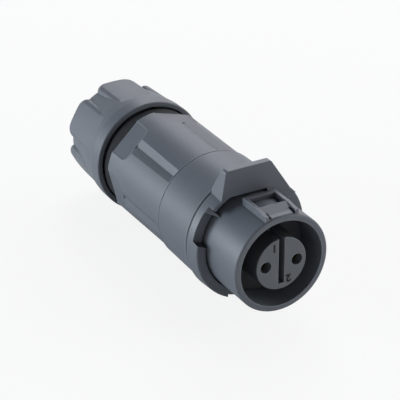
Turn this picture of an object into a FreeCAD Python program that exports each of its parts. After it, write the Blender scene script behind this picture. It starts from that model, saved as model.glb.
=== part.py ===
import FreeCAD, Part
import math
import os

from FreeCAD import Vector

# A circular two-pole cable socket, in millimetres.
# The axis lies along Y: the mating face is at zero and looks to -Y, the cable leaves to +Y.
# +Z is up, through the thumb tab. Clock angles run from the top towards -X.

# Clearances
RUNNING_FIT = 0.08
STATIC_FIT = 0.05
LOOSE_FIT = 0.10
END_PLAY = 0.10

# Nose of the front shell
NOSE_RADIUS = 12.3
NOSE_WALL = 1.5
NOSE_LENGTH = 12.6
NOSE_EDGE = 0.5
SOCKET_DEPTH = 8.6
INTERFACE_SEAL = 1.2
WEB_THICKNESS = 1.4
JOURNAL_STEP = 0.8
SPIGOT_LENGTH = 7.6
SPIGOT_WALL = 2.3

# Catch block on top of the nose
BLOCK_WIDTH = 8.7
BLOCK_FRONT = 0.3
BLOCK_REAR = 10.3
BLOCK_RISE = 1.0
BLOCK_DROP = 0.5
POCKET_WIDTH = 7.0
POCKET_FRONT = 4.35
POCKET_REAR = 9.15
POCKET_FLOOR = 0.7
RAMP_WIDTH = 5.6
RAMP_FOOT = 1.55
RAMP_FOOT_RISE = 0.15
RAMP_GROOVE_END = 2.3
RAMP_GROOVE_SINK = 0.4

# Locking collar
LIP_GAP = 0.35
COLLAR_WALL = 2.35
COLLAR_TAPER = 0.2
COLLAR_WIDTH = 4.55
COLLAR_EDGE = 0.2
SHOULDER_WIDTH = 1.2
COLLAR_TURN = 20.0
STOP_HEIGHT = 0.7
STOP_ANGLE = 8.0
STOP_SLACK = 1.5
NOTCH_DEPTH = 2.1
NOTCH_CLOCK = 65.5
NOTCH_SPAN = 29.0
NOTCH_SLOPE = 0.1
LOWER_NOTCH_SPAN = 50.0
ARCH_RISE = 0.5
ARCH_SKIN = 0.8
ARCH_LEFT = 46.0
ARCH_RIGHT = 16.0
CHEEK_SPAN = 6.0
CHEEK_SLANT = 2.0

# Thumb tab, measured from the axis and the collar's front face
TAB_HEIGHT = 19.6
TAB_LEFT_TOP = 7.4
TAB_LEFT_FOOT = 8.6
TAB_RIGHT_TOP = 4.5
TAB_RIGHT_FOOT = 9.3
TAB_FOOT_HEIGHT = 12.2
TAB_TOP_THICKNESS = 1.6
TAB_BACK_HEIGHT = 13.9
TAB_CORNER = 0.9

# Body sleeve
SEAM_GAP = 0.45
SLEEVE_WALL = 2.6
SLEEVE_LENGTH = 14.2
SLEEVE_LIP = 0.85
SLEEVE_LIP_RISE = 0.8
SLEEVE_LIP_EDGE = 0.3
SLEEVE_LIP_STEP = 0.15
SLEEVE_LINE_WIDTH = 0.25
SLEEVE_LINE_DEPTH = 0.3
SLEEVE_END_RISE = 0.4
SLEEVE_RING_WIDTH = 1.6
SLEEVE_RING_DEPTH = 1.2
SLEEVE_RING_SETBACK = 2.8

# Rear housing
JOIN_GAP = 0.2
HOUSING_LENGTH = 26.55
HOUSING_RIM = 0.35
HOUSING_DRAFT = 0.18
HOUSING_SPIGOT = 4.9
HOUSING_SPIGOT_INSET = 1.35
HOUSING_WALL = 3.2
HOUSING_RING = 1.3
SIDES = 6
SIDE_CLOCK = 44.0
FLAT_DEPTH = 0.98
FLAT_LENGTH = 5.9
FLAT_WIDTH = 9.4
FLAT_CORNER = 1.2
FLAT_RUNOUT = 1.7
GROOVE_WIDTH = 4.0
GROOVE_DEPTH = 0.75
GROOVE_LAND = 0.5

# Cable gland
THREAD_STEP = 2.55
THREAD_LENGTH = 11.4
GLAND_WALL = 2.6
GLAND_SEAT = 2.5
GLAND_WEB = 3.0
GASKET_WIDTH = 1.65
GASKET_THICKNESS = 3.6
CLAW_WALL = 2.0
CLAW_FOOT = 1.0
CLAW_BASE = 3.0
CLAW_REACH = 14.6
CLAW_FINGERS = 8
CLAW_SLIT = 1.2
CLAW_TIP = 0.7
SEAL_WALL = 2.3
SEAL_LENGTH = 15.0
SEAL_EDGE = 0.6

# Clamp nut
NUT_GAP = 4.35
NUT_TRAVEL = 4.0
NUT_FLARE = 0.7
NUT_RIM = 0.3
NUT_BAND = 3.6
NUT_BAND_TAPER = 0.05
NUT_SKIRT_WALL = 1.2
NUT_SKIRT_DEPTH = 4.4
NUT_END_WALL = 4.35
NUT_END_ROUND = 2.0
NUT_CHAMBER_GAP = 1.3
CABLE_MARGIN = 1.1
PAD_CLOCK = 0.5
PAD_SPAN = 50.0
PAD_FRONT = 5.5
PAD_SINK = 0.8
PAD_TAPER = 0.55
PAD_CROWN = 36.0
PAD_BOW = 2.0
PAD_CORNER = 3.0
PAD_EDGE_ROUND = 1.6
VALLEY_FRONT = 7.6
VALLEY_SINK = 0.5
VALLEY_TAPER = 1.6
PRESS_RING_THICKNESS = 1.5

# Contact insert and its carrier
INSERT_RADIUS = 6.58
INSERT_SETBACK = 0.1
INSERT_EDGE = 0.15
INSERT_RING = 1.0
FLANGE_THICKNESS = 2.2
RETAINER_THICKNESS = 2.0
RETAINER_WIDTH = 1.5
KEY_SLOT_WIDTH = 1.6
KEY_SLOT_FOOT = 5.15
KEY_SLOT_DEPTH = 6.5
CONTACT_PITCH = 8.26
CONTACT_ENTRY = 1.45
CONTACT_ENTRY_DEPTH = 2.2
CONTACT_BORE = 1.28
CONTACT_WALL = 0.62
CONTACT_DEPTH = 8.5
CONTACT_SLIT = 0.5
CONTACT_FLANGE = 0.6
CONTACT_FLANGE_WIDTH = 1.0
TERMINAL_RADIUS = 2.4
TERMINAL_LENGTH = 9.0
WIRE_BORE = 1.3
WIRE_DEPTH = 6.0
CARRIER_LENGTH = 4.5
TERMINAL_SCREW_RADIUS = 0.9
TERMINAL_SCREW_LENGTH = 2.2
TERMINAL_SCREW_SETBACK = 2.6
TERMINAL_HEAD_RADIUS = 1.4
TERMINAL_HEAD_HEIGHT = 0.9
CARRIER_SCREW_RADIUS = 1.1
CARRIER_SCREW_BITE = 3.0
CARRIER_HEAD_RADIUS = 1.6
CARRIER_HEAD_HEIGHT = 1.4
DRIVER_SLOT_WIDTH = 0.4
DRIVER_SLOT_DEPTH = 0.5

# Stations and radii that follow from the sizes above
BORE_RADIUS = NOSE_RADIUS - NOSE_WALL
JOURNAL_RADIUS = NOSE_RADIUS - JOURNAL_STEP
SHELL_REAR_BORE = JOURNAL_RADIUS - SPIGOT_WALL
COLLAR_FRONT_RADIUS = NOSE_RADIUS + LIP_GAP + COLLAR_WALL
COLLAR_REAR_RADIUS = COLLAR_FRONT_RADIUS + COLLAR_TAPER
HOUSING_RADIUS = JOURNAL_RADIUS + SLEEVE_WALL
THREAD_RADIUS = HOUSING_RADIUS - THREAD_STEP
GLAND_BORE = THREAD_RADIUS - GLAND_WALL
CLAW_BORE = GLAND_BORE - LOOSE_FIT - CLAW_WALL
SEAL_BORE = CLAW_BORE - LOOSE_FIT - SEAL_WALL
CABLE_HOLE = SEAL_BORE + CABLE_MARGIN
NUT_FRONT_RADIUS = HOUSING_RADIUS + NUT_FLARE
PAD_RADIUS = NUT_FRONT_RADIUS - PAD_SINK
VALLEY_RADIUS = NUT_FRONT_RADIUS - VALLEY_SINK
CHAMBER_RADIUS = GLAND_BORE + NUT_CHAMBER_GAP
FLANGE_RADIUS = SHELL_REAR_BORE - LOOSE_FIT
CONTACT_RADIUS = CONTACT_BORE + CONTACT_WALL

COLLAR_FRONT = NOSE_LENGTH
COLLAR_REAR = COLLAR_FRONT + COLLAR_WIDTH
SHOULDER = COLLAR_REAR - SHOULDER_WIDTH
NOSE_END = SHOULDER - END_PLAY
SLEEVE_FRONT = COLLAR_REAR + SEAM_GAP
SHELL_REAR = SLEEVE_FRONT + SPIGOT_LENGTH
SLEEVE_REAR = SLEEVE_FRONT + SLEEVE_LENGTH
HOUSING_FRONT = SLEEVE_REAR + JOIN_GAP
HOUSING_REAR = HOUSING_FRONT + HOUSING_LENGTH
SPIGOT_FRONT = SLEEVE_REAR - HOUSING_SPIGOT
THREAD_END = HOUSING_REAR + THREAD_LENGTH
GLAND_FLOOR = HOUSING_REAR - GLAND_SEAT
CLAW_END = HOUSING_REAR + CLAW_REACH
PRESS_FRONT = CLAW_END + NUT_TRAVEL + 2 * END_PLAY
PRESS_REAR = PRESS_FRONT + PRESS_RING_THICKNESS
NUT_FRONT = HOUSING_REAR + NUT_GAP
NUT_INNER = PRESS_REAR + STATIC_FIT
NUT_REAR = NUT_INNER + NUT_END_WALL
WEB_FRONT = SOCKET_DEPTH + INTERFACE_SEAL
WEB_REAR = WEB_FRONT + WEB_THICKNESS
FLANGE_FRONT = WEB_REAR + INSERT_RING
FLANGE_REAR = FLANGE_FRONT + FLANGE_THICKNESS
INSERT_REAR = FLANGE_REAR + RETAINER_THICKNESS
CARRIER_FRONT = INSERT_REAR + CONTACT_FLANGE_WIDTH
CARRIER_REAR = CARRIER_FRONT + CARRIER_LENGTH
TERMINAL_REAR = CARRIER_FRONT + TERMINAL_LENGTH

ORIGIN = Vector(0, 0, 0)
AXIS = Vector(0, 1, 0)
CLOCK_AXIS = Vector(0, -1, 0)


def turned(profile, start=0.0, sweep=360.0):
    """Turns a closed outline of (radius, station) pairs about the axis, from one clock angle on."""
    points = [Vector(0, station, radius) for radius, station in profile]
    face = Part.Face(Part.makePolygon(points + points[:1]))
    face.rotate(ORIGIN, CLOCK_AXIS, start)
    return face.revolve(ORIGIN, CLOCK_AXIS, sweep)


def tube(inner, outer, front, rear):
    """Makes a plain ring between two stations."""
    return turned([(inner, front), (outer, front), (outer, rear), (inner, rear)])


def rod(radius, front, rear, x=0.0):
    """Makes a round bar along the axis direction."""
    return Part.makeCylinder(radius, rear - front, Vector(x, front, 0), AXIS)


def block(left, right, front, rear, low, high):
    """Makes a box from its limits along X, Y and Z."""
    return Part.makeBox(right - left, rear - front, high - low, Vector(left, front, low))


def side_prism(outline, left, right):
    """Extrudes a closed outline of (station, height) pairs across X."""
    points = [Vector(left, station, height) for station, height in outline]
    return Part.Face(Part.makePolygon(points + points[:1])).extrude(Vector(right - left, 0, 0))


def front_prism(outline, front, rear):
    """Extrudes a closed outline of (x, height) pairs along the axis."""
    points = [Vector(x, front, height) for x, height in outline]
    return Part.Face(Part.makePolygon(points + points[:1])).extrude(Vector(0, rear - front, 0))


def radial_prism(outline, low, high):
    """Extrudes a closed outline of (x, station) pairs upwards, away from the axis."""
    points = [Vector(x, station, low) for x, station in outline]
    return Part.Face(Part.makePolygon(points + points[:1])).extrude(Vector(0, 0, high - low))


def at_clock(shape, angle):
    """Returns a copy of a shape made at the top, turned to a clock angle."""
    copy = shape.copy()
    copy.rotate(ORIGIN, CLOCK_AXIS, angle)
    return copy


def clock_ring(shape, start, count):
    """Returns copies of a shape, evenly spaced round the axis."""
    return [at_clock(shape, start + 360.0 / count * index) for index in range(count)]


def rim(shape, radius, station):
    """Finds the round edges of a shape with a given radius at a station."""
    level = [e for e in shape.Edges if e.BoundBox.YLength < 0.01 and abs(e.BoundBox.YMin - station) < 0.01]
    return [e for e in level if abs(e.BoundBox.XMax - radius) < 0.01]


def torus(radius, thickness, station):
    """Makes an O-ring round the axis."""
    return Part.makeTorus(radius, thickness / 2, Vector(0, station, 0), AXIS)


def make_catch_block():
    """The raised block that a mating latch hooks into: side walls, pocket and entry ramp."""
    half = BLOCK_WIDTH / 2
    pocket_half = POCKET_WIDTH / 2
    top = NOSE_RADIUS + BLOCK_RISE
    over = top + BLOCK_RISE
    body = block(-half, half, BLOCK_FRONT, BLOCK_REAR, 0, top)
    body = body.cut(rod(BORE_RADIUS, 0, BLOCK_REAR + 1))
    fall = [(POCKET_FRONT, top), (BLOCK_FRONT, top - BLOCK_DROP), (BLOCK_FRONT - 1, top - BLOCK_DROP)]
    fall += [(BLOCK_FRONT - 1, over), (POCKET_FRONT, over)]
    body = body.cut(side_prism(fall, -BLOCK_WIDTH, BLOCK_WIDTH))
    floor = BORE_RADIUS + POCKET_FLOOR
    body = body.cut(block(-pocket_half, pocket_half, POCKET_FRONT, POCKET_REAR, floor, over))
    ramp = [(POCKET_FRONT, top), (RAMP_FOOT, NOSE_RADIUS + RAMP_FOOT_RISE), (BLOCK_FRONT, NOSE_RADIUS)]
    ramp += [(BLOCK_FRONT - 1, NOSE_RADIUS), (BLOCK_FRONT - 1, over), (POCKET_FRONT, over)]
    body = body.cut(side_prism(ramp, -pocket_half, pocket_half))
    for side in (-1, 1):
        edges = sorted((side * RAMP_WIDTH / 2, side * pocket_half))
        sink = NOSE_RADIUS - RAMP_GROOVE_SINK
        body = body.cut(block(edges[0], edges[1], BLOCK_FRONT - 1, RAMP_GROOVE_END, sink, over))
    return body


def make_front_shell():
    """The nose with its socket bore, the inner web, the collar journal and the rear spigot."""
    profile = [
        (NOSE_RADIUS, 0),
        (NOSE_RADIUS, NOSE_END),
        (JOURNAL_RADIUS, NOSE_END),
        (JOURNAL_RADIUS, SHELL_REAR - NOSE_EDGE),
        (JOURNAL_RADIUS - NOSE_EDGE, SHELL_REAR),
        (SHELL_REAR_BORE, SHELL_REAR),
        (SHELL_REAR_BORE, WEB_REAR),
        (INSERT_RADIUS + STATIC_FIT, WEB_REAR),
        (INSERT_RADIUS + STATIC_FIT, WEB_FRONT),
        (BORE_RADIUS, WEB_FRONT),
        (BORE_RADIUS, 0),
    ]
    shell = turned(profile)
    shell = shell.makeFillet(NOSE_EDGE, rim(shell, NOSE_RADIUS, 0)).fuse(make_catch_block())
    stop_top = JOURNAL_RADIUS + STOP_HEIGHT - RUNNING_FIT
    stop = [(SHELL_REAR_BORE + 1, NOSE_END - 1), (stop_top, NOSE_END - 1)]
    stop += [(stop_top, COLLAR_REAR), (SHELL_REAR_BORE + 1, COLLAR_REAR)]
    shell = shell.fuse(turned(stop, 180 - STOP_ANGLE / 2, STOP_ANGLE))
    middle = SLEEVE_FRONT + SLEEVE_RING_SETBACK
    front = middle - SLEEVE_RING_WIDTH / 2
    rear = middle + SLEEVE_RING_WIDTH / 2
    shell = shell.cut(tube(JOURNAL_RADIUS - SLEEVE_RING_DEPTH, JOURNAL_RADIUS + 1, front, rear))
    return shell.removeSplitter()


def make_interface_seal():
    """Flat rubber ring on the floor of the annular socket."""
    return tube(INSERT_RADIUS + LOOSE_FIT, BORE_RADIUS - LOOSE_FIT, SOCKET_DEPTH, WEB_FRONT)


def make_sleeve_o_ring():
    """O-ring in the spigot's groove, under the body sleeve."""
    inner = JOURNAL_RADIUS - SLEEVE_RING_DEPTH
    thickness = SLEEVE_RING_DEPTH
    return torus(inner + thickness / 2, thickness, SLEEVE_FRONT + SLEEVE_RING_SETBACK)


def make_tab():
    """Thumb tab: upright front, steep left side, long right slope, leaning back."""
    low = JOURNAL_RADIUS
    lean = [(COLLAR_FRONT, 0), (COLLAR_FRONT, TAB_HEIGHT)]
    lean += [(COLLAR_FRONT + TAB_TOP_THICKNESS, TAB_HEIGHT)]
    lean += [(COLLAR_REAR, TAB_BACK_HEIGHT), (COLLAR_REAR, 0)]
    left_run = (TAB_LEFT_FOOT - TAB_LEFT_TOP) / (TAB_HEIGHT - TAB_FOOT_HEIGHT)
    right_run = (TAB_RIGHT_FOOT - TAB_RIGHT_TOP) / (TAB_HEIGHT - TAB_FOOT_HEIGHT)
    rise = TAB_HEIGHT - low
    outline = [(-TAB_LEFT_TOP - left_run * rise, low), (-TAB_LEFT_TOP, TAB_HEIGHT)]
    outline += [(TAB_RIGHT_TOP, TAB_HEIGHT), (TAB_RIGHT_TOP + right_run * rise, low)]
    slab = front_prism(outline, COLLAR_FRONT - 1, COLLAR_REAR + 1)
    corners = [e for e in slab.Edges if e.BoundBox.YLength > 1 and e.BoundBox.ZMin > TAB_HEIGHT - 0.01]
    slab = slab.makeFillet(TAB_CORNER, corners)
    wide = max(TAB_LEFT_FOOT, TAB_RIGHT_FOOT) * 2
    tab = slab.common(side_prism(lean, -wide, wide))
    return tab.cut(rod(COLLAR_FRONT_RADIUS - COLLAR_WALL / 2, 0, SLEEVE_FRONT))


def make_notch(span):
    """Cutter for one notch in the collar's lip, at the top, with sloping ends."""
    half = COLLAR_FRONT_RADIUS * math.sin(math.radians(span / 2))
    lead = NOTCH_SLOPE * (NOTCH_DEPTH + 1)
    front = COLLAR_FRONT - 1
    rear = COLLAR_FRONT + NOTCH_DEPTH
    outline = [(-half, rear), (half, rear), (half + lead, front), (-half - lead, front)]
    return radial_prism(outline, COLLAR_FRONT_RADIUS / 2, TAB_HEIGHT)


def make_cheek_slant():
    """Cutter that slants the lip between the arch and the left notch down to the nose."""
    inner = NOSE_RADIUS + LIP_GAP
    outer = COLLAR_FRONT_RADIUS + 1
    slope = CHEEK_SLANT / COLLAR_WALL
    profile = [(inner, COLLAR_FRONT), (inner, COLLAR_FRONT - 1), (outer, COLLAR_FRONT - 1)]
    profile += [(outer, COLLAR_FRONT + slope * (outer - inner))]
    return turned(profile, ARCH_LEFT - 1, CHEEK_SPAN + 1)


def make_locking_collar():
    """The ring that turns on the front shell: lip, side notches, arch, stop slot and thumb tab."""
    profile = [
        (NOSE_RADIUS + LIP_GAP, COLLAR_FRONT),
        (COLLAR_FRONT_RADIUS - COLLAR_EDGE, COLLAR_FRONT),
        (COLLAR_FRONT_RADIUS, COLLAR_FRONT + COLLAR_EDGE),
        (COLLAR_REAR_RADIUS, COLLAR_REAR - COLLAR_EDGE),
        (COLLAR_REAR_RADIUS - COLLAR_EDGE, COLLAR_REAR),
        (JOURNAL_RADIUS + RUNNING_FIT, COLLAR_REAR),
        (JOURNAL_RADIUS + RUNNING_FIT, SHOULDER),
        (NOSE_RADIUS + LIP_GAP, SHOULDER),
    ]
    collar = turned(profile).fuse(make_tab())
    cut_rear = COLLAR_FRONT + NOTCH_DEPTH
    ceiling = block(-TAB_HEIGHT, TAB_HEIGHT, COLLAR_FRONT - 1, cut_rear, 0, NOSE_RADIUS + ARCH_RISE)
    arch_radius = COLLAR_FRONT_RADIUS - ARCH_SKIN
    arch_profile = [(JOURNAL_RADIUS, COLLAR_FRONT - 1), (arch_radius, COLLAR_FRONT - 1)]
    arch_profile += [(arch_radius, cut_rear), (JOURNAL_RADIUS, cut_rear)]
    collar = collar.cut(turned(arch_profile, -ARCH_RIGHT, ARCH_LEFT + ARCH_RIGHT).common(ceiling))
    collar = collar.cut(make_cheek_slant())
    for clock, span in ((NOTCH_CLOCK, NOTCH_SPAN), (-NOTCH_CLOCK, NOTCH_SPAN), (180, LOWER_NOTCH_SPAN)):
        collar = collar.cut(at_clock(make_notch(span), clock))
    slot_top = JOURNAL_RADIUS + STOP_HEIGHT
    slot = [(0, SHOULDER - 1), (slot_top, SHOULDER - 1), (slot_top, COLLAR_REAR + 1), (0, COLLAR_REAR + 1)]
    slot_start = 180 - STOP_ANGLE / 2 - STOP_SLACK
    collar = collar.cut(turned(slot, slot_start, STOP_ANGLE + COLLAR_TURN + 2 * STOP_SLACK))
    return collar.removeSplitter()


def make_body_sleeve():
    """The sleeve that screws onto the spigot, holds the collar and takes the rear housing."""
    lip_radius = HOUSING_RADIUS + SLEEVE_LIP_RISE
    rear_radius = HOUSING_RADIUS + SLEEVE_END_RISE
    lip_rear = SLEEVE_FRONT + SLEEVE_LIP
    line_rear = lip_rear + SLEEVE_LINE_WIDTH
    inner = JOURNAL_RADIUS + STATIC_FIT
    seat = HOUSING_RADIUS - HOUSING_SPIGOT_INSET + STATIC_FIT
    seat_front = SPIGOT_FRONT - HOUSING_RING
    profile = [
        (inner, SLEEVE_FRONT),
        (lip_radius - SLEEVE_LIP_EDGE, SLEEVE_FRONT),
        (lip_radius, SLEEVE_FRONT + SLEEVE_LIP_EDGE),
        (lip_radius, lip_rear),
        (lip_radius - SLEEVE_LINE_DEPTH, lip_rear),
        (lip_radius - SLEEVE_LINE_DEPTH, line_rear),
        (lip_radius - SLEEVE_LIP_STEP, line_rear),
        (rear_radius, SLEEVE_REAR),
        (seat, SLEEVE_REAR),
        (seat, seat_front),
        (inner, seat_front),
    ]
    return turned(profile)


def make_housing_o_ring():
    """O-ring between the housing's spigot and the sleeve's seat."""
    outer = HOUSING_RADIUS - HOUSING_SPIGOT_INSET
    return torus(outer - HOUSING_RING / 2, HOUSING_RING, SPIGOT_FRONT - HOUSING_RING / 2)


def flat_outline(grow, height):
    """Outline of a spanner flat seen from above, with round front corners, grown to the front and sides."""
    half = FLAT_WIDTH / 2 + grow
    front = HOUSING_REAR - FLAT_LENGTH - grow
    corner = FLAT_CORNER + grow
    bulge = corner * (1 - math.sqrt(0.5))
    left = [Vector(-half, front + corner, height), Vector(bulge - half, front + bulge, height)]
    left += [Vector(corner - half, front, height)]
    right = [Vector(-point.x, point.y, height) for point in reversed(left)]
    ends = [right[-1], Vector(half, HOUSING_REAR, height), Vector(-half, HOUSING_REAR, height), left[0]]
    bends = [Part.Arc(*left).toShape(), Part.Arc(*right).toShape()]
    return Part.Wire([bends[0], Part.makeLine(left[-1], right[0]), bends[1]] + Part.makePolygon(ends).Edges)


def make_flat():
    """Cutter for one spanner flat, at the top, whose front and sides run out in a slope."""
    floor = HOUSING_RADIUS + HOUSING_DRAFT - FLAT_DEPTH
    over = flat_outline(2 * FLAT_RUNOUT, floor + 2 * FLAT_DEPTH)
    return Part.makeLoft([flat_outline(0, floor), over], True, True)


def make_rear_housing():
    """The grooved grip housing with spanner flats, wire chamber and gland thread."""
    chamber = HOUSING_RADIUS - HOUSING_WALL
    spigot = HOUSING_RADIUS - HOUSING_SPIGOT_INSET
    rim_rear = HOUSING_FRONT + HOUSING_RIM
    profile = [
        (chamber, SPIGOT_FRONT),
        (spigot, SPIGOT_FRONT),
        (spigot, HOUSING_FRONT),
        (HOUSING_RADIUS + SLEEVE_END_RISE, HOUSING_FRONT),
        (HOUSING_RADIUS + SLEEVE_END_RISE, rim_rear),
        (HOUSING_RADIUS, rim_rear),
        (HOUSING_RADIUS + HOUSING_DRAFT, HOUSING_REAR),
        (THREAD_RADIUS, HOUSING_REAR),
        (THREAD_RADIUS, THREAD_END),
        (GLAND_BORE, THREAD_END),
        (GLAND_BORE, GLAND_FLOOR),
        (CABLE_HOLE, GLAND_FLOOR),
        (CABLE_HOLE, GLAND_FLOOR - GLAND_WEB),
        (chamber, GLAND_FLOOR - GLAND_WEB),
    ]
    housing = turned(profile)
    flat_front = HOUSING_REAR - FLAT_LENGTH
    half = GROOVE_WIDTH / 2
    edge = math.sqrt(HOUSING_RADIUS ** 2 - half ** 2)
    slope = GROOVE_DEPTH / half
    reach = half * 2
    vee = [(0, HOUSING_RADIUS - GROOVE_DEPTH), (reach, edge + slope * (reach - half))]
    vee += [(-reach, edge + slope * (reach - half))]
    groove = front_prism(vee, rim_rear, flat_front - GROOVE_LAND)
    for cutter in clock_ring(make_flat(), SIDE_CLOCK, SIDES) + clock_ring(groove, SIDE_CLOCK, SIDES):
        housing = housing.cut(cutter)
    return housing.removeSplitter()


def make_nut_gasket():
    """Rubber washer round the gland thread, against the housing's shoulder."""
    inner = THREAD_RADIUS + STATIC_FIT
    return tube(inner, inner + GASKET_WIDTH, HOUSING_REAR + STATIC_FIT, HOUSING_REAR + GASKET_THICKNESS)


def make_clamp_claw():
    """Collet that grips the cable: a footed base ring with tapered fingers."""
    outer = GLAND_BORE - LOOSE_FIT
    foot = GLAND_FLOOR + STATIC_FIT
    profile = [
        (CABLE_HOLE, foot),
        (outer, foot),
        (outer, CLAW_END - 2 * CLAW_TIP),
        (outer - CLAW_TIP, CLAW_END),
        (CLAW_BORE, CLAW_END),
        (CLAW_BORE, foot + CLAW_FOOT),
        (CABLE_HOLE, foot + CLAW_FOOT),
    ]
    claw = turned(profile)
    slit = block(-CLAW_SLIT / 2, CLAW_SLIT / 2, foot + CLAW_BASE, CLAW_END + 1, CLAW_BORE / 2, outer + 1)
    for cutter in clock_ring(slit, 0, CLAW_FINGERS):
        claw = claw.cut(cutter)
    return claw


def make_cable_seal():
    """Rubber bush that seals on the cable, inside the claw."""
    outer = CLAW_BORE - LOOSE_FIT
    front = GLAND_FLOOR + STATIC_FIT + CLAW_FOOT + STATIC_FIT
    rear = front + SEAL_LENGTH
    profile = [
        (SEAL_BORE, front),
        (outer, front),
        (outer, rear - SEAL_EDGE),
        (outer - SEAL_EDGE, rear),
        (SEAL_BORE, rear),
    ]
    return turned(profile)


def make_press_ring():
    """Slip ring that the nut drives along without turning it."""
    outer = CHAMBER_RADIUS - LOOSE_FIT
    return tube(CABLE_HOLE + LOOSE_FIT, outer, PRESS_FRONT, PRESS_REAR)


def make_pad_sector():
    """The room of one grip pad at the top, out past the nut's band."""
    far = NUT_FRONT_RADIUS + 1
    front = NUT_FRONT + PAD_FRONT
    profile = [(CHAMBER_RADIUS, front), (far, front), (far, NUT_REAR), (CHAMBER_RADIUS, NUT_REAR)]
    return turned(profile, -PAD_SPAN / 2, PAD_SPAN)


def make_pad_crown():
    """What lies below a pad's nearly flat top, which tapers to the rear round an axis far below."""
    front = NUT_FRONT + PAD_FRONT
    drop = PAD_CROWN - PAD_RADIUS
    profile = [(drop, front), (PAD_CROWN, front), (PAD_CROWN - PAD_TAPER, NUT_REAR), (drop, NUT_REAR)]
    crown = turned(profile, -PAD_SPAN / 2, PAD_SPAN)
    crown.translate(Vector(0, 0, -drop))
    return crown


def make_pad():
    """One grip pad of the nut, at the top: a tapering segment with round rear corners and edges."""
    front = NUT_FRONT + PAD_FRONT
    pad = make_pad_sector().common(make_pad_crown())
    rear = [e for e in pad.Edges if e.BoundBox.YMin > NUT_REAR - 0.01]
    pad = pad.makeFillet(PAD_CORNER, [e for e in rear if e.Curve.TypeId == "Part::GeomLine"])
    low = (PAD_RADIUS - PAD_TAPER) * math.cos(math.radians(PAD_SPAN / 2)) - 0.1
    edges = [e for e in pad.Edges if e.BoundBox.ZMin > low and e.BoundBox.YMax > front + 0.01]
    return pad.makeFillet(PAD_EDGE_ROUND, edges)


def make_pad_trim():
    """Cutter that sinks one pad into the nut's band, with a front edge that bows forward."""
    far = NUT_FRONT_RADIUS + 1
    front = NUT_FRONT + PAD_FRONT
    half = far * math.sin(math.radians(PAD_SPAN / 2))
    left = Vector(-half, front + PAD_BOW, 0)
    right = Vector(half, front + PAD_BOW, 0)
    bow = Part.Arc(left, Vector(0, front, 0), right).toShape()
    sides = Part.makePolygon([right, Vector(half, NUT_REAR, 0), Vector(-half, NUT_REAR, 0), left])
    plan = Part.Face(Part.Wire([bow] + sides.Edges)).extrude(Vector(0, 0, far))
    return make_pad_sector().cut(make_pad_crown()).common(plan)


def make_clamp_nut():
    """The gland nut: a tapering skirt with six grip pads, a thread and a cable hole."""
    bore = THREAD_RADIUS + LOOSE_FIT
    step = THREAD_END + NUT_TRAVEL + 4 * END_PLAY
    skirt_end = NUT_FRONT + NUT_SKIRT_DEPTH
    skirt_bore = NUT_FRONT_RADIUS - NUT_SKIRT_WALL
    valley_end = VALLEY_RADIUS - VALLEY_TAPER
    profile = [
        (skirt_bore, NUT_FRONT),
        (NUT_FRONT_RADIUS, NUT_FRONT),
        (NUT_FRONT_RADIUS - NUT_BAND_TAPER, NUT_FRONT + NUT_BAND),
        (VALLEY_RADIUS, NUT_FRONT + VALLEY_FRONT),
        (valley_end, NUT_REAR - NUT_END_ROUND),
        (valley_end - NUT_END_ROUND / 4, NUT_REAR - NUT_END_ROUND / 2),
        (valley_end - NUT_END_ROUND, NUT_REAR),
        (CABLE_HOLE, NUT_REAR),
        (CABLE_HOLE, NUT_INNER),
        (CHAMBER_RADIUS, NUT_INNER),
        (CHAMBER_RADIUS, step),
        (bore, step),
        (bore, skirt_end),
        (skirt_bore, skirt_end),
    ]
    nut = turned(profile)
    nut = nut.makeFillet(NUT_RIM, rim(nut, NUT_FRONT_RADIUS, NUT_FRONT))
    for cutter in clock_ring(make_pad_trim(), PAD_CLOCK, SIDES):
        nut = nut.cut(cutter)
    hollow = rod(bore, NUT_FRONT, step).fuse(rod(CHAMBER_RADIUS, step, NUT_INNER))
    pad = make_pad().cut(hollow)
    return nut.fuse(clock_ring(pad, PAD_CLOCK, SIDES)).removeSplitter()


def make_contact_insert():
    """The insulator with its key slot, contact holes and rear flange."""
    shank = FLANGE_RADIUS - RETAINER_WIDTH - LOOSE_FIT
    profile = [
        (0, INSERT_SETBACK),
        (INSERT_RADIUS - INSERT_EDGE, INSERT_SETBACK),
        (INSERT_RADIUS, INSERT_SETBACK + INSERT_EDGE),
        (INSERT_RADIUS, FLANGE_FRONT),
        (FLANGE_RADIUS, FLANGE_FRONT),
        (FLANGE_RADIUS, FLANGE_REAR),
        (shank, FLANGE_REAR),
        (shank, INSERT_REAR),
        (0, INSERT_REAR),
    ]
    insert = turned(profile)
    half = KEY_SLOT_WIDTH / 2
    slot_rear = INSERT_SETBACK + KEY_SLOT_DEPTH
    insert = insert.cut(block(-half, half, 0, slot_rear, -KEY_SLOT_FOOT, INSERT_RADIUS + 1))
    for x in (-CONTACT_PITCH / 2, CONTACT_PITCH / 2):
        cavity = INSERT_SETBACK + CONTACT_ENTRY_DEPTH
        insert = insert.cut(rod(CONTACT_ENTRY, 0, cavity, x))
        insert = insert.cut(rod(CONTACT_RADIUS + STATIC_FIT, cavity, INSERT_REAR, x))
    bite = INSERT_REAR - CARRIER_SCREW_BITE
    return insert.cut(rod(CARRIER_SCREW_RADIUS + STATIC_FIT, bite, INSERT_REAR))


def make_insert_o_ring():
    """Face seal between the shell's web and the insert's flange."""
    radius = (INSERT_RADIUS + FLANGE_RADIUS) / 2
    return torus(radius, INSERT_RING, WEB_REAR + INSERT_RING / 2)


def make_insert_retainer():
    """Ring that locks the insert's flange in the shell."""
    inner = FLANGE_RADIUS - RETAINER_WIDTH
    return tube(inner, SHELL_REAR_BORE - STATIC_FIT, FLANGE_REAR, INSERT_REAR)


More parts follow.
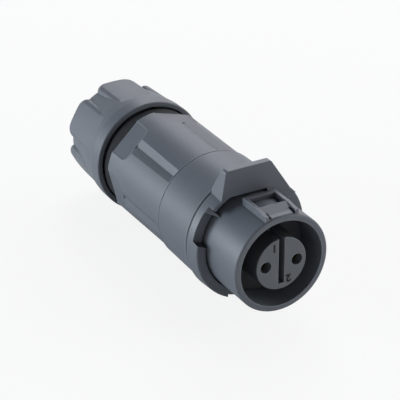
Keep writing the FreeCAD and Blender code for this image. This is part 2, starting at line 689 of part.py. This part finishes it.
def make_socket_contact(x):
    """One turned socket contact: split tube, location flange, terminal barrel with wire hole."""
    front = INSERT_SETBACK + CONTACT_ENTRY_DEPTH + STATIC_FIT
    bottom = front + CONTACT_DEPTH
    contact = rod(CONTACT_RADIUS, front, INSERT_REAR, x)
    contact = contact.fuse(rod(CONTACT_RADIUS + CONTACT_FLANGE, INSERT_REAR, CARRIER_FRONT, x))
    contact = contact.fuse(rod(TERMINAL_RADIUS, CARRIER_FRONT, TERMINAL_REAR, x))
    contact = contact.cut(rod(CONTACT_BORE, front, bottom, x))
    contact = contact.cut(rod(WIRE_BORE, TERMINAL_REAR - WIRE_DEPTH, TERMINAL_REAR, x))
    half = CONTACT_SLIT / 2
    reach = CONTACT_RADIUS + 1
    contact = contact.cut(block(x - half, x + half, front, bottom - CONTACT_WALL, -reach, reach))
    station = TERMINAL_REAR - TERMINAL_SCREW_SETBACK
    hole = Part.makeCylinder(TERMINAL_SCREW_RADIUS + STATIC_FIT, TERMINAL_RADIUS + 1, Vector(x, station, 0))
    return contact.cut(hole).removeSplitter()


def make_rear_insulator():
    """Carrier disc behind the insert that holds the contacts in place."""
    carrier = rod(FLANGE_RADIUS, CARRIER_FRONT, CARRIER_REAR)
    for x in (-CONTACT_PITCH / 2, CONTACT_PITCH / 2):
        carrier = carrier.cut(rod(TERMINAL_RADIUS + STATIC_FIT, CARRIER_FRONT, CARRIER_REAR, x))
    carrier = carrier.cut(rod(CARRIER_SCREW_RADIUS + LOOSE_FIT, CARRIER_FRONT, CARRIER_REAR))
    spacer = rod(CARRIER_SCREW_RADIUS + 2 * CONTACT_FLANGE_WIDTH, INSERT_REAR, CARRIER_FRONT)
    spacer = spacer.cut(rod(CARRIER_SCREW_RADIUS + LOOSE_FIT, INSERT_REAR, CARRIER_FRONT))
    for x in (-CONTACT_PITCH / 2, CONTACT_PITCH / 2):
        flange = CONTACT_RADIUS + CONTACT_FLANGE + LOOSE_FIT
        spacer = spacer.cut(rod(flange, INSERT_REAR, CARRIER_FRONT, x))
    return carrier.fuse(spacer).removeSplitter()


def make_carrier_screw():
    """Centre screw that draws the carrier onto the insert."""
    head_rear = CARRIER_REAR + CARRIER_HEAD_HEIGHT
    tip = INSERT_REAR - CARRIER_SCREW_BITE
    screw = rod(CARRIER_SCREW_RADIUS, tip, CARRIER_REAR)
    screw = screw.fuse(rod(CARRIER_HEAD_RADIUS, CARRIER_REAR, head_rear))
    half = DRIVER_SLOT_WIDTH / 2
    reach = CARRIER_HEAD_RADIUS + 1
    return screw.cut(block(-reach, reach, head_rear - DRIVER_SLOT_DEPTH, head_rear, -half, half))


def make_terminal_screws():
    """The two wire clamping screws, one on each terminal barrel."""
    station = TERMINAL_REAR - TERMINAL_SCREW_SETBACK
    foot = TERMINAL_RADIUS - TERMINAL_SCREW_LENGTH
    top = TERMINAL_RADIUS + TERMINAL_HEAD_HEIGHT
    half = DRIVER_SLOT_WIDTH / 2
    reach = TERMINAL_HEAD_RADIUS + 1
    screws = []
    for x in (-CONTACT_PITCH / 2, CONTACT_PITCH / 2):
        screw = Part.makeCylinder(TERMINAL_SCREW_RADIUS, TERMINAL_SCREW_LENGTH, Vector(x, station, foot))
        seat = Vector(x, station, TERMINAL_RADIUS)
        head = Part.makeCylinder(TERMINAL_HEAD_RADIUS, TERMINAL_HEAD_HEIGHT, seat)
        slot = block(x - reach, x + reach, station - half, station + half, top - DRIVER_SLOT_DEPTH, top)
        screws.append(screw.fuse(head).cut(slot))
    return Part.makeCompound(screws)


def main():
    """Builds every piece and writes one STEP file for each."""
    os.makedirs("parts", exist_ok=True)
    pieces = {
        "front_shell": make_front_shell(),
        "interface_seal": make_interface_seal(),
        "contact_insert": make_contact_insert(),
        "insert_o_ring": make_insert_o_ring(),
        "insert_retainer": make_insert_retainer(),
        "socket_contact_left": make_socket_contact(-CONTACT_PITCH / 2),
        "socket_contact_right": make_socket_contact(CONTACT_PITCH / 2),
        "rear_insulator": make_rear_insulator(),
        "carrier_screw": make_carrier_screw(),
        "terminal_screws": make_terminal_screws(),
        "locking_collar": make_locking_collar(),
        "body_sleeve": make_body_sleeve(),
        "sleeve_o_ring": make_sleeve_o_ring(),
        "rear_housing": make_rear_housing(),
        "housing_o_ring": make_housing_o_ring(),
        "nut_gasket": make_nut_gasket(),
        "clamp_claw": make_clamp_claw(),
        "cable_seal": make_cable_seal(),
        "press_ring": make_press_ring(),
        "clamp_nut": make_clamp_nut(),
    }
    for node, shape in pieces.items():
        shape.exportStep("parts/" + node + ".step")
        print(node, len(shape.Solids), shape.isValid(), round(shape.Volume, 1))


main()
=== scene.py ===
"""Dresses a circular cable socket: moulded and turned finishes, pole numbers, a plain studio and camera."""

from __future__ import annotations

import logging
import math
from dataclasses import dataclass, field
from enum import Enum
from typing import Any

import bmesh
import bpy
from mathutils import Matrix, Vector

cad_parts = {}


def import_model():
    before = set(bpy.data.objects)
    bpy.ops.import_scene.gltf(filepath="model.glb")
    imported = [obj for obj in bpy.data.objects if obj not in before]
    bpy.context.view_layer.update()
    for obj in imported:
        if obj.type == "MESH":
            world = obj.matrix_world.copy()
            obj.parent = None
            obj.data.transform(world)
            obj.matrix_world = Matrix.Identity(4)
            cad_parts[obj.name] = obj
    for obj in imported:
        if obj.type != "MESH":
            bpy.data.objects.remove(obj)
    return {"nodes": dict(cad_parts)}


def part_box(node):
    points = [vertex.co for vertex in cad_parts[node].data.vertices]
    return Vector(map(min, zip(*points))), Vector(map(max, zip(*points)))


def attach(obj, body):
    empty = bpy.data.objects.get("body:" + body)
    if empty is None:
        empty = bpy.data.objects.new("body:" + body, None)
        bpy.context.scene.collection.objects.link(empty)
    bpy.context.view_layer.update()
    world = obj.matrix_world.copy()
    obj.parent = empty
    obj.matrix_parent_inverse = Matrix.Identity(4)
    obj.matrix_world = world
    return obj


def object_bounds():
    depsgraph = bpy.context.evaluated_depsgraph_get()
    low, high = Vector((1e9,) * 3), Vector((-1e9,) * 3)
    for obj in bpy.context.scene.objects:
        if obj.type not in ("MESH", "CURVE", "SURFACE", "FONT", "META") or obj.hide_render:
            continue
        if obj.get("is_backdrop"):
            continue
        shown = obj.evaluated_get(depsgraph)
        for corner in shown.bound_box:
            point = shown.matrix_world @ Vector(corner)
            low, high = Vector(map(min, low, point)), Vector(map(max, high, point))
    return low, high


LOG = logging.getLogger("cable_socket")
MM = 0.001
WHITE = "#ffffff"
# The pole numbers ride on the fixed body.
MARK_BODY = "socket_body"
# Share of a letter's nominal size that a digit is tall.
DIGIT_SHARE = 0.7
# Points of a mesh that are nearer than this, in metres, are one point.
MERGE_DISTANCE = 1e-7
# A colour Mix node has sockets of one name for every type of data, so they are reached by number.
MIX_FACTOR = 0
MIX_FIRST = 6
MIX_SECOND = 7
MIX_RESULT = 2
# Rays that an edge or corner node sends out from each point.
EDGE_SAMPLES = 6
# Distance between the bands of a wave texture at a scale of one.
WAVE_PERIOD = math.tau / 20

Tree = bpy.types.NodeTree
Socket = bpy.types.NodeSocket


class Stance(Enum):
    """How a pole number stands on the insert's face, as a turn in degrees."""

    UPRIGHT = 0.0
    INVERTED = 180.0


def linear(colour: str) -> tuple[float, float, float, float]:
    """Turns an sRGB hex colour into linear light.

    Args:
        colour: Six hex digits after a hash.

    Returns:
        Red, green, blue and an alpha of one.
    """
    parts = [int(colour[i:i + 2], 16) / 255 for i in (1, 3, 5)]
    # The curve of the sRGB standard: a short straight toe, then a power.
    red, green, blue = [p / 12.92 if p <= 0.04045 else ((p + 0.055) / 1.055) ** 2.4 for p in parts]
    return red, green, blue, 1.0


def per_mm(size_mm: float) -> float:
    """Gives the texture scale whose features measure size_mm on the object."""
    return 1.0 / (size_mm * MM)


def add_node(
    tree: Tree, kind: str, feeds: dict[str | int, Any] | None = None, **settings: Any
) -> bpy.types.Node:
    """Adds a shader node, with its settings, constants and links.

    Args:
        tree: The node tree that gets the node.
        kind: The node's class name.
        feeds: What goes into each input, by name or index: an output socket or a constant.
        settings: The node's own properties.

    Returns:
        The new node.
    """
    node = tree.nodes.new(kind)
    for key, value in settings.items():
        setattr(node, key, value)
    for name, source in (feeds or {}).items():
        if isinstance(source, Socket):
            tree.links.new(source, node.inputs[name])
        else:
            node.inputs[name].default_value = source
    return node


def new_material(name: str) -> tuple[bpy.types.Material, Tree, bpy.types.Node]:
    """Makes an empty node material.

    Args:
        name: The material's name.

    Returns:
        The material, its tree and its output node.
    """
    material = bpy.data.materials.new(name)
    material.use_nodes = True
    tree = material.node_tree
    tree.nodes.clear()
    return material, tree, add_node(tree, "ShaderNodeOutputMaterial")


@dataclass(frozen=True)
class Finish:
    """A surface with two close tones that drift into each other, and a fine relief.

    Attributes:
        name: What the material is and how its surface was made.
        tone: The main colour.
        drift: The second tone, a little off the first.
        roughness: The middle roughness.
        spread: How far roughness swings to each side.
        drift_mm: Size of the soft clouds of tone.
        drift_detail: How finely the clouds break up.
        grain_mm: Size of the relief's grains.
        grain_detail: How finely the grains break up.
        relief_mm: Height of the relief.
        edge_mm: Radius that the moulded or rolled edges seem to have.
        rub_and_highlight: Colour of the edges that stand out, pale from wear and from a painted highlight.
        rub_and_highlight_mm: Width of that pale edge.
        painted_corner_shade: Colour of the painted shade in corners and seams.
        painted_corner_shade_mm: How far the painted shade reaches out of a corner.
        ior: Index of refraction.
        metallic: One for bare metal.
    """

    name: str
    tone: str
    drift: str
    roughness: float
    spread: float = 0.04
    drift_mm: float = 6.0
    drift_detail: float = 3.0
    # The grain of such a mould is about 0.05 mm, and is drawn coarser so that it shows.
    grain_mm: float = 0.4
    grain_detail: float = 2.0
    relief_mm: float = 0.004
    edge_mm: float = 0.2
    # Edge colour: partly wear from hands, partly a painted highlight on the rounded edges.
    rub_and_highlight: str = "#8f959e"
    rub_and_highlight_mm: float = 0.25
    # Painted shade: corners and seams are darkened where less light reaches.
    painted_corner_shade: str = "#3a3e44"
    painted_corner_shade_mm: float = 1.0
    ior: float = 1.5
    metallic: float = 0.0

    def colour(self, tree: Tree, place: Socket) -> Socket:
        """Mixes two tones by soft clouds, pales edges by wear and painted highlight, darkens corners by
        painted shade.

        Args:
            tree: The material's tree.
            place: Object coordinates.

        Returns:
            The colour's socket.
        """
        clouds = add_node(
            tree,
            "ShaderNodeTexNoise",
            {"Vector": place, "Scale": per_mm(self.drift_mm), "Detail": self.drift_detail},
        )
        blend = add_node(
            tree,
            "ShaderNodeMix",
            {MIX_FACTOR: clouds.outputs[0], MIX_FIRST: linear(self.tone), MIX_SECOND: linear(self.drift)},
            data_type="RGBA",
        )
        # Edges that stand out are paled: partly wear, partly a painted highlight.
        inward = add_node(
            tree,
            "ShaderNodeAmbientOcclusion",
            {"Distance": self.rub_and_highlight_mm * MM},
            samples=EDGE_SAMPLES,
            inside=True,
            only_local=True,
        )
        rubbed_and_highlighted = add_node(
            tree,
            "ShaderNodeMix",
            {
                MIX_FACTOR: inward.outputs["AO"],
                MIX_FIRST: linear(self.rub_and_highlight),
                MIX_SECOND: blend.outputs[MIX_RESULT],
            },
            data_type="RGBA",
        )
        # Corners and seams are darkened as painted shade.
        outward = add_node(
            tree, "ShaderNodeAmbientOcclusion", {"Distance": self.painted_corner_shade_mm * MM}, samples=EDGE_SAMPLES
        )
        corner_shaded = add_node(
            tree,
            "ShaderNodeMix",
            {
                MIX_FACTOR: outward.outputs["AO"],
                MIX_FIRST: linear(self.painted_corner_shade),
                MIX_SECOND: rubbed_and_highlighted.outputs[MIX_RESULT],
            },
            data_type="RGBA",
        )
        return corner_shaded.outputs[MIX_RESULT]

    def relief(self, tree: Tree, place: Socket) -> Socket:
        """Gives the height of the grain, from nought to one.

        Args:
            tree: The material's tree.
            place: Object coordinates.

        Returns:
            The height's socket.
        """
        grain = add_node(
            tree,
            "ShaderNodeTexNoise",
            {"Vector": place, "Scale": per_mm(self.grain_mm), "Detail": self.grain_detail},
        )
        return grain.outputs[0]

    def build(self) -> bpy.types.Material:
        """Makes the material.

        Returns:
            The finished material.
        """
        material, tree, output = new_material(self.name)
        place = add_node(tree, "ShaderNodeTexCoord").outputs["Object"]
        height = self.relief(tree, place)
        swing = add_node(
            tree,
            "ShaderNodeMapRange",
            {
                "Value": height,
                "To Min": self.roughness - self.spread,
                "To Max": self.roughness + self.spread,
            },
        )
        soft = add_node(tree, "ShaderNodeBevel", {"Radius": self.edge_mm * MM}, samples=EDGE_SAMPLES)
        bump = add_node(
            tree,
            "ShaderNodeBump",
            {"Strength": 1.0, "Distance": self.relief_mm * MM, "Height": height, "Normal": soft.outputs[0]},
        )
        shader = add_node(
            tree,
            "ShaderNodeBsdfPrincipled",
            {
                "Base Color": self.colour(tree, place),
                "Roughness": swing.outputs[0],
                "Normal": bump.outputs[0],
                "Metallic": self.metallic,
                "IOR": self.ior,
            },
        )
        tree.links.new(shader.outputs[0], output.inputs["Surface"])
        return material


@dataclass(frozen=True)
class ShadedWallFinish(Finish):
    """A moulded finish whose round side wall is painted darker than its face, as shade deep in the socket.

    Attributes:
        wall: Colour of the side wall, a painted shade.
        wall_radius_mm: The wall lies outside this radius.
        wall_from_mm: The wall starts this far from the mating face.
    """

    # The side wall's colour is painted shade, as it sits deep in the socket.
    wall: str = "#3c3e42"
    wall_radius_mm: float = 6.4
    wall_from_mm: float = 0.3

    def colour(self, tree: Tree, place: Socket) -> Socket:
        """Mixes the tones, then lays the wall's painted shade round the outside.

        Args:
            tree: The material's tree.
            place: Object coordinates.

        Returns:
            The colour's socket.
        """
        plain = super().colour(tree, place)
        across_axis = (1.0, 0.0, 1.0)
        flat = add_node(tree, "ShaderNodeVectorMath", {0: place, 1: across_axis}, operation="MULTIPLY")
        radius = add_node(tree, "ShaderNodeVectorMath", {0: flat.outputs[0]}, operation="LENGTH")
        outside = add_node(
            tree,
            "ShaderNodeMath",
            {0: radius.outputs["Value"], 1: self.wall_radius_mm * MM},
            operation="GREATER_THAN",
        )
        along = add_node(tree, "ShaderNodeSeparateXYZ", {0: place})
        behind = add_node(
            tree,
            "ShaderNodeMath",
            {0: along.outputs["Y"], 1: self.wall_from_mm * MM},
            operation="GREATER_THAN",
        )
        both = add_node(
            tree, "ShaderNodeMath", {0: outside.outputs[0], 1: behind.outputs[0]}, operation="MULTIPLY"
        )
        # Painted shade on the side wall, deep in the socket.
        wall_shaded = add_node(
            tree,
            "ShaderNodeMix",
            {MIX_FACTOR: both.outputs[0], MIX_FIRST: plain, MIX_SECOND: linear(self.wall)},
            data_type="RGBA",
        )
        return wall_shaded.outputs[MIX_RESULT]


@dataclass(frozen=True)
class TurnedFinish(Finish):
    """Metal with the fine rings that a lathe tool leaves across the axis.

    Attributes:
        pitch_mm: Distance between the rings.
        waver: How far the rings stray from true circles.
    """

    # A tool leaves rings about 0.1 mm apart, and they are drawn coarser so that they show.
    pitch_mm: float = 0.25
    waver: float = 0.4

    def relief(self, tree: Tree, place: Socket) -> Socket:
        """Gives the height of the tool marks.

        Args:
            tree: The material's tree.
            place: Object coordinates.

        Returns:
            The height's socket.
        """
        rings = add_node(
            tree,
            "ShaderNodeTexWave",
            {"Vector": place, "Scale": per_mm(self.pitch_mm) * WAVE_PERIOD, "Distortion": self.waver},
            bands_direction="Y",
        )
        return rings.outputs["Fac"]


# Glass-filled nylon from a spark-eroded mould: an even satin grey, faintly clouded where the melt flowed.
SHELL_NYLON = Finish("satin_moulded_nylon", "#595e66", "#60656d", 0.45)
# Polyester insulator, moulded matt: duller and a touch flatter than the shell, its side wall painted darker
# as shade deep in the socket.
INSERT_POLYESTER = ShadedWallFinish("matt_insert_polyester", "#575b60", "#5d6166", 0.5, drift_mm=4.0)
# Nitrile rubber, pressed in a polished mould and bloomed with wax: dull black.
SEAL_NITRILE = Finish(
    "bloomed_nitrile_rubber",
    "#222326",
    "#292a2d",
    0.8,
    drift_mm=3.0,
    grain_mm=0.3,
    rub_and_highlight="#2a2b2d",
    painted_corner_shade="#131416",
    ior=1.35,
)
# Silicone face seal, soft: a cool charcoal, lightened as painted light so that it stays visible in the deep
# socket.
SEAL_SILICONE = Finish(
    "lightened_silicone_rubber",
    "#3a3c40",
    "#424448",
    0.65,
    drift_mm=3.0,
    rub_and_highlight="#4a4c50",
    painted_corner_shade="#303236",
    ior=1.41,
)
# Black nylon of the claw and slip ring: slightly waxy.
CLAW_NYLON = Finish("waxy_black_nylon", "#1b1b1c", "#202022", 0.45, rub_and_highlight="#333436", painted_corner_shade="#161617")
# Free-cutting brass, turned: a brown gold darkened as painted shade in the deep contact holes, with edges
# paled by wear and a painted highlight.
CONTACT_BRASS = TurnedFinish(
    "turned_brass", "#5c5038", "#4e4430", 0.4, rub_and_highlight="#8f7743", painted_corner_shade="#332c1d", metallic=1.0
)
# Steel screws with a thin zinc plate: bright with a blue cast.
SCREW_ZINC = TurnedFinish(
    "zinc_plated_steel", "#b4b8bc", "#a8adb2", 0.32, rub_and_highlight="#d4d7da", painted_corner_shade="#7b7f83", metallic=1.0
)
# Pad-printed epoxy ink: flat black with a slight build.
MARK_INK = Finish(
    "printed_epoxy_ink",
    "#101112",
    "#161718",
    0.6,
    drift_mm=1.0,
    relief_mm=0.001,
    edge_mm=0.02,
    rub_and_highlight="#1e1f21",
    rub_and_highlight_mm=0.02,
    painted_corner_shade="#101112",
    ior=1.4,
)


class Paints:
    """Builds each finish once and hands it out."""

    def __init__(self) -> None:
        """Starts with nothing built."""
        self.made: dict[str, bpy.types.Material] = {}

    def get(self, finish: Finish) -> bpy.types.Material:
        """Hands out a finish's material, which is built at the first call.

        Args:
            finish: The finish.

        Returns:
            Its material.
        """
        if finish.name not in self.made:
            self.made[finish.name] = finish.build()
        return self.made[finish.name]

    def dress(self, piece: bpy.types.Object, finish: Finish) -> None:
        """Gives a piece one finish all over.

        Args:
            piece: The object to dress.
            finish: Its finish.
        """
        piece.data.materials.clear()
        piece.data.materials.append(self.get(finish))
        LOG.info("%s: %s", piece.name, finish.name)


@dataclass
class SubAssembly:
    """A group of CAD pieces that are dressed together.

    Attributes:
        nodes: The CAD pieces by name.
        paints: The store of finishes.
        finishes: The finish of each piece in the group.
    """

    nodes: dict[str, bpy.types.Object]
    paints: Paints
    finishes: dict[str, Finish] = field(default_factory=dict)

    def build(self) -> None:
        """Dresses each piece of the group."""
        for node, finish in self.finishes.items():
            self.paints.dress(self.nodes[node], finish)


@dataclass
class Nose(SubAssembly):
    """The front shell with its socket and the seal on the socket's floor."""

    finishes: dict[str, Finish] = field(
        default_factory=lambda: {"front_shell": SHELL_NYLON, "interface_seal": SEAL_SILICONE}
    )


@dataclass
class ContactGroup(SubAssembly):
    """The insert, its contacts, what holds them and the pole numbers on the insert's face.

    Attributes:
        mark_height_mm: Height of a pole number.
        mark_bold_mm: How far a stroke is thickened to each side.
        mark_build_mm: How far the ink stands off the face.
        mark_x_mm: Distance of a number's middle from the key slot's middle.
        mark_rise_mm: Distance of a number's middle above or below the axis.
    """

    finishes: dict[str, Finish] = field(
        default_factory=lambda: {
            "contact_insert": INSERT_POLYESTER,
            "insert_o_ring": SEAL_NITRILE,
            "insert_retainer": INSERT_POLYESTER,
            "socket_contact_left": CONTACT_BRASS,
            "socket_contact_right": CONTACT_BRASS,
            "rear_insulator": INSERT_POLYESTER,
            "carrier_screw": SCREW_ZINC,
            "terminal_screws": SCREW_ZINC,
        }
    )
    mark_height_mm: float = 1.85
    mark_bold_mm: float = 0.12
    mark_build_mm: float = 0.03
    mark_x_mm: float = 1.96
    mark_rise_mm: float = 4.35

    def build(self) -> None:
        """Dresses the group and prints the two pole numbers."""
        super().build()
        self.print_mark("pole_mark_one", "1", -self.mark_x_mm, self.mark_rise_mm, Stance.UPRIGHT)
        self.print_mark("pole_mark_two", "2", self.mark_x_mm, -self.mark_rise_mm, Stance.INVERTED)

    def print_mark(self, name: str, text: str, x_mm: float, z_mm: float, stance: Stance) -> None:
        """Prints one number on the insert's face.

        Args:
            name: The piece's name.
            text: The number.
            x_mm: Its middle along X.
            z_mm: Its middle along Z.
            stance: How it stands.
        """
        curve = bpy.data.curves.new(name, "FONT")
        curve.body = text
        curve.size = self.mark_height_mm * MM / DIGIT_SHARE
        curve.offset = self.mark_bold_mm * MM
        holder = bpy.data.objects.new(name, curve)
        mesh = bpy.data.meshes.new_from_object(holder)
        bpy.data.objects.remove(holder)
        shape = bmesh.new()
        shape.from_mesh(mesh)
        bmesh.ops.remove_doubles(shape, verts=shape.verts, dist=MERGE_DISTANCE)
        columns = list(zip(*(v.co for v in shape.verts)))
        centre = Vector([(max(column) + min(column)) / 2 for column in columns])
        bmesh.ops.translate(shape, verts=shape.verts, vec=-centre)
        grown = bmesh.ops.extrude_face_region(shape, geom=list(shape.faces))
        lifted = [v for v in grown["geom"] if isinstance(v, bmesh.types.BMVert)]
        bmesh.ops.translate(shape, verts=lifted, vec=(0, 0, self.mark_build_mm * MM))
        bmesh.ops.recalc_face_normals(shape, faces=shape.faces)
        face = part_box("contact_insert")[0].y
        to_face = Matrix.Translation((x_mm * MM, face, z_mm * MM))
        upright = Matrix.Rotation(math.radians(90), 4, "X")
        turned = Matrix.Rotation(math.radians(stance.value), 4, "Z")
        bmesh.ops.transform(shape, matrix=to_face @ upright @ turned, verts=shape.verts)
        shape.to_mesh(mesh)
        shape.free()
        piece = bpy.data.objects.new(name, mesh)
        bpy.context.scene.collection.objects.link(piece)
        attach(piece, MARK_BODY)
        self.paints.dress(piece, MARK_INK)


@dataclass
class Collar(SubAssembly):
    """The turning ring with its thumb tab."""

    finishes: dict[str, Finish] = field(default_factory=lambda: {"locking_collar": SHELL_NYLON})


@dataclass
class GripBody(SubAssembly):
    """The sleeve and the grooved housing, with the rings that seal them."""

    finishes: dict[str, Finish] = field(
        default_factory=lambda: {
            "body_sleeve": SHELL_NYLON,
            "sleeve_o_ring": SEAL_NITRILE,
            "rear_housing": SHELL_NYLON,
            "housing_o_ring": SEAL_NITRILE,
        }
    )


@dataclass
class CableGland(SubAssembly):
    """The gasket, claw, seal, slip ring and nut that hold the cable."""

    finishes: dict[str, Finish] = field(
        default_factory=lambda: {
            "nut_gasket": SEAL_NITRILE,
            "clamp_claw": CLAW_NYLON,
            "cable_seal": SEAL_NITRILE,
            "press_ring": CLAW_NYLON,
            "clamp_nut": SHELL_NYLON,
        }
    )


@dataclass(frozen=True)
class SoftBox:
    """A square studio lamp that faces the object.

    Attributes:
        name: The lamp's name.
        azimuth: Its bearing from the object's rear towards its right, in degrees.
        elevation: Its height above the floor, in degrees.
        side: Edge of its square face, in metres.
        watts: Its power.
        tint: Its colour.
    """

    name: str
    azimuth: float
    elevation: float
    side: float
    watts: float
    tint: str

    def heading(self) -> Vector:
        """Gives the direction from the object to the lamp.

        Returns:
            A vector of length one.
        """
        bearing, rise = math.radians(self.azimuth), math.radians(self.elevation)
        level = math.cos(rise)
        return Vector((math.sin(bearing) * level, math.cos(bearing) * level, math.sin(rise)))


@dataclass
class Studio:
    """The floor, the white surround, the lamps and the camera.

    Attributes:
        eye_mm: The camera's place.
        right: The camera's right in the frame.
        up: The camera's up in the frame.
        lens_mm: The camera's focal length.
        sensor_mm: Width of the camera's square sensor.
        near: Distance from which the camera sees, in metres.
        far: Distance up to which the camera sees, in metres.
        reach: Distance of the lamps from the object's middle, in metres.
        floor_side: Edge of the floor, in metres.
        floor_gap_mm: Room between the object and the floor.
        white_to: Height on the unit sky up to which the surround is white.
        dim_from: Height on the unit sky from which it is dim.
        dim: Strength of the dim ceiling.
        shadow: How much of the floor's own shading the camera sees.
        mirrored_shadow: How much of it reflections see.
        contact_shade_mm: How far the shade under the object reaches in the white that reflections see.
        floor_paint: Colour of the floor.
        lamps: The lamps.
    """

    eye_mm: tuple[float, float, float] = (-188.04, -292.12, 199.66)
    right: tuple[float, float, float] = (0.86851, -0.49567, 0.0)
    up: tuple[float, float, float] = (0.23160, 0.40580, 0.88413)
    lens_mm: float = 159.0
    sensor_mm: float = 36.0
    near: float = 0.01
    far: float = 50.0
    reach: float = 1.0
    floor_side: float = 8.0
    floor_gap_mm: float = 0.2
    white_to: float = 0.215
    dim_from: float = 0.45
    dim: float = 0.05
    shadow: float = 0.14
    mirrored_shadow: float = 0.65
    contact_shade_mm: float = 60.0
    floor_paint: str = "#f6f6f6"
    lamps: tuple[SoftBox, ...] = (
        SoftBox("left_lamp", -60.0, 7.0, 0.4, 8.4, "#e9f5ff"),
        SoftBox("rear_lamp", 41.0, 43.0, 0.75, 6.6, "#f5f7ff"),
        SoftBox("front_fill_lamp", 116.0, 22.0, 0.7, 3.8, "#fbfffd"),
    )

    def build(self, lowest: float, middle: Vector) -> None:
        """Sets up the whole studio.

        Args:
            lowest: Height of the object's lowest point, in metres.
            middle: The object's middle.
        """
        self.set_camera()
        self.lay_floor(lowest - self.floor_gap_mm * MM)
        self.paint_surround()
        for lamp in self.lamps:
            self.hang(lamp, middle)
        bpy.context.scene.view_settings.view_transform = "Standard"

    def set_camera(self) -> None:
        """Puts the camera where the photograph was taken from."""
        data = bpy.data.cameras.new("camera")
        data.sensor_width = self.sensor_mm
        data.lens = self.lens_mm
        data.clip_start = self.near
        data.clip_end = self.far
        camera = bpy.data.objects.new("camera", data)
        right, up = Vector(self.right), Vector(self.up)
        turn = Matrix((right, up, right.cross(up))).transposed().to_4x4()
        camera.matrix_world = Matrix.Translation(Vector(self.eye_mm) * MM) @ turn
        bpy.context.scene.collection.objects.link(camera)
        bpy.context.scene.camera = camera

    def lay_floor(self, level: float) -> None:
        """Lays the floor under the object.

        Args:
            level: The floor's height, in metres.
        """
        mesh = bpy.data.meshes.new("floor")
        shape = bmesh.new()
        bmesh.ops.create_grid(shape, x_segments=1, y_segments=1, size=self.floor_side / 2)
        bmesh.ops.translate(shape, verts=shape.verts, vec=(0, 0, level))
        shape.to_mesh(mesh)
        shape.free()
        floor = bpy.data.objects.new("floor", mesh)
        bpy.context.scene.collection.objects.link(floor)
        floor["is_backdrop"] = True
        mesh.materials.append(self.paint_floor())

    def paint_floor(self) -> bpy.types.Material:
        """Makes the pale paint that the camera sees as white with a faint shadow.

        Returns:
            The floor's material.
        """
        material, tree, output = new_material("pale_floor")
        path = add_node(tree, "ShaderNodeLightPath").outputs
        seen = add_node(
            tree, "ShaderNodeMath", {0: path["Is Camera Ray"], 1: 1.0 - self.shadow}, operation="MULTIPLY"
        )
        passed = add_node(
            tree,
            "ShaderNodeMath",
            {0: path["Is Glossy Ray"], 1: path["Is Transmission Ray"]},
            operation="MAXIMUM",
        )
        mirrored = add_node(
            tree,
            "ShaderNodeMath",
            {0: passed.outputs[0], 1: 1.0 - self.mirrored_shadow},
            operation="MULTIPLY",
        )
        share = add_node(
            tree, "ShaderNodeMath", {0: seen.outputs[0], 1: mirrored.outputs[0]}, operation="MAXIMUM"
        )
        paint = add_node(tree, "ShaderNodeBsdfDiffuse", {"Color": linear(self.floor_paint)})
        under = add_node(
            tree,
            "ShaderNodeAmbientOcclusion",
            {"Distance": self.contact_shade_mm * MM},
            samples=EDGE_SAMPLES,
        )
        open_floor = add_node(
            tree, "ShaderNodeMath", {0: under.outputs["AO"], 1: path["Is Camera Ray"]}, operation="MAXIMUM"
        )
        white = add_node(
            tree, "ShaderNodeEmission", {"Color": linear(WHITE), "Strength": open_floor.outputs[0]}
        )
        mix = add_node(
            tree, "ShaderNodeMixShader", {0: share.outputs[0], 1: paint.outputs[0], 2: white.outputs[0]}
        )
        tree.links.new(mix.outputs[0], output.inputs["Surface"])
        return material

    def paint_surround(self) -> None:
        """Paints a white backdrop round the horizon that fades into a dim ceiling."""
        world = bpy.data.worlds.new("surround")
        bpy.context.scene.world = world
        world.use_nodes = True
        tree = world.node_tree
        tree.nodes.clear()
        place = add_node(tree, "ShaderNodeTexCoord").outputs["Generated"]
        height = add_node(tree, "ShaderNodeSeparateXYZ", {0: place}).outputs["Z"]
        fade = add_node(
            tree,
            "ShaderNodeMapRange",
            {
                "Value": height,
                "From Min": self.white_to,
                "From Max": self.dim_from,
                "To Min": 1.0,
                "To Max": self.dim,
            },
        )
        paint = add_node(
            tree, "ShaderNodeBackground", {"Color": linear(WHITE), "Strength": fade.outputs[0]}
        )
        output = add_node(tree, "ShaderNodeOutputWorld")
        tree.links.new(paint.outputs[0], output.inputs["Surface"])

    def hang(self, lamp: SoftBox, middle: Vector) -> None:
        """Hangs one lamp, facing the object.

        Args:
            lamp: The lamp.
            middle: The object's middle.
        """
        data = bpy.data.lights.new(lamp.name, "AREA")
        data.size = lamp.side
        data.energy = lamp.watts
        data.color = linear(lamp.tint)[:3]
        holder = bpy.data.objects.new(lamp.name, data)
        heading = lamp.heading()
        holder.location = middle + heading * self.reach
        holder.rotation_euler = heading.to_track_quat("Z", "Y").to_euler()
        holder.visible_camera = False
        bpy.context.scene.collection.objects.link(holder)


def main() -> None:
    """Loads the frame, dresses each sub-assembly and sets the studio."""
    logging.basicConfig(level=logging.INFO, format="%(name)s %(message)s")
    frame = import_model()
    cad_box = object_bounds()
    paints = Paints()
    for group in (Nose, ContactGroup, Collar, GripBody, CableGland):
        group(frame["nodes"], paints).build()
    Studio().build(cad_box[0].z, (cad_box[0] + cad_box[1]) / 2)


if __name__ == "__main__":
    main()
